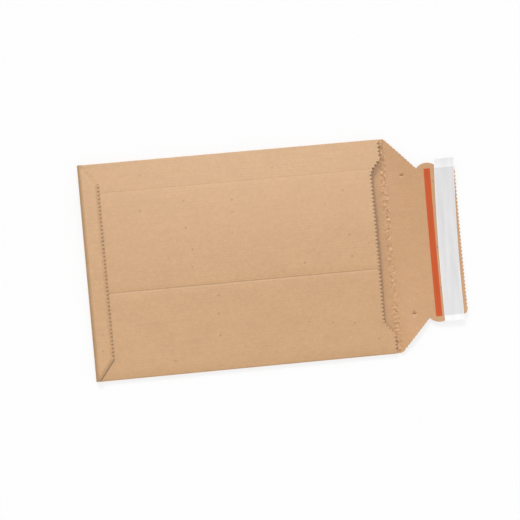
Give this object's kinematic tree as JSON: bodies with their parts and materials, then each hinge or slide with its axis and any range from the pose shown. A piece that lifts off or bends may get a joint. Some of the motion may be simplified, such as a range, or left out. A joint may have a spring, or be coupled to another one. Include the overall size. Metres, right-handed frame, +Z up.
{
  "type": "corrugated cardboard envelope",
  "caption": "Flat folded pouch of thin fluted board with an open closing flap, red tear strip and peel-off closure liner, used for posting documents.",
  "frame": {"origin": "centre of the rear panel's outer face, on the surface the envelope lies on", "axes": "+X out of the mouth, along the open closing flap; +Y towards the glued seam; +Z up through the front panel"},
  "size_m": [0.4314, 0.248, 0.0097],
  "materials": {
    "kraft_board": "matt brown kraft",
    "kraft_board_inner": "matt brown kraft, inner face",
    "tear_tape": "smooth red film",
    "adhesive": "clear tacky film",
    "release_liner": "smooth off-white silicone paper",
    "glue": "dried glue film"
  },
  "bodies": {
    "pouch": {"pouch": "kraft_board", "seam_glue": "glue", "bottom_flap_glue": "glue"},
    "closing_flap": {"closing_flap": "kraft_board_inner", "tear_strip": "tear_tape", "adhesive_strip": "adhesive", "release_liner": "release_liner"}
  },
  "joints": [
    {"name": "closing_flap_fold", "type": "hinge", "parent": "pouch", "child": "closing_flap", "pos_m": [0.17425, 0, 0.00593], "axis": [0, -1, 0], "range_deg": [0, 180]}
  ]
}
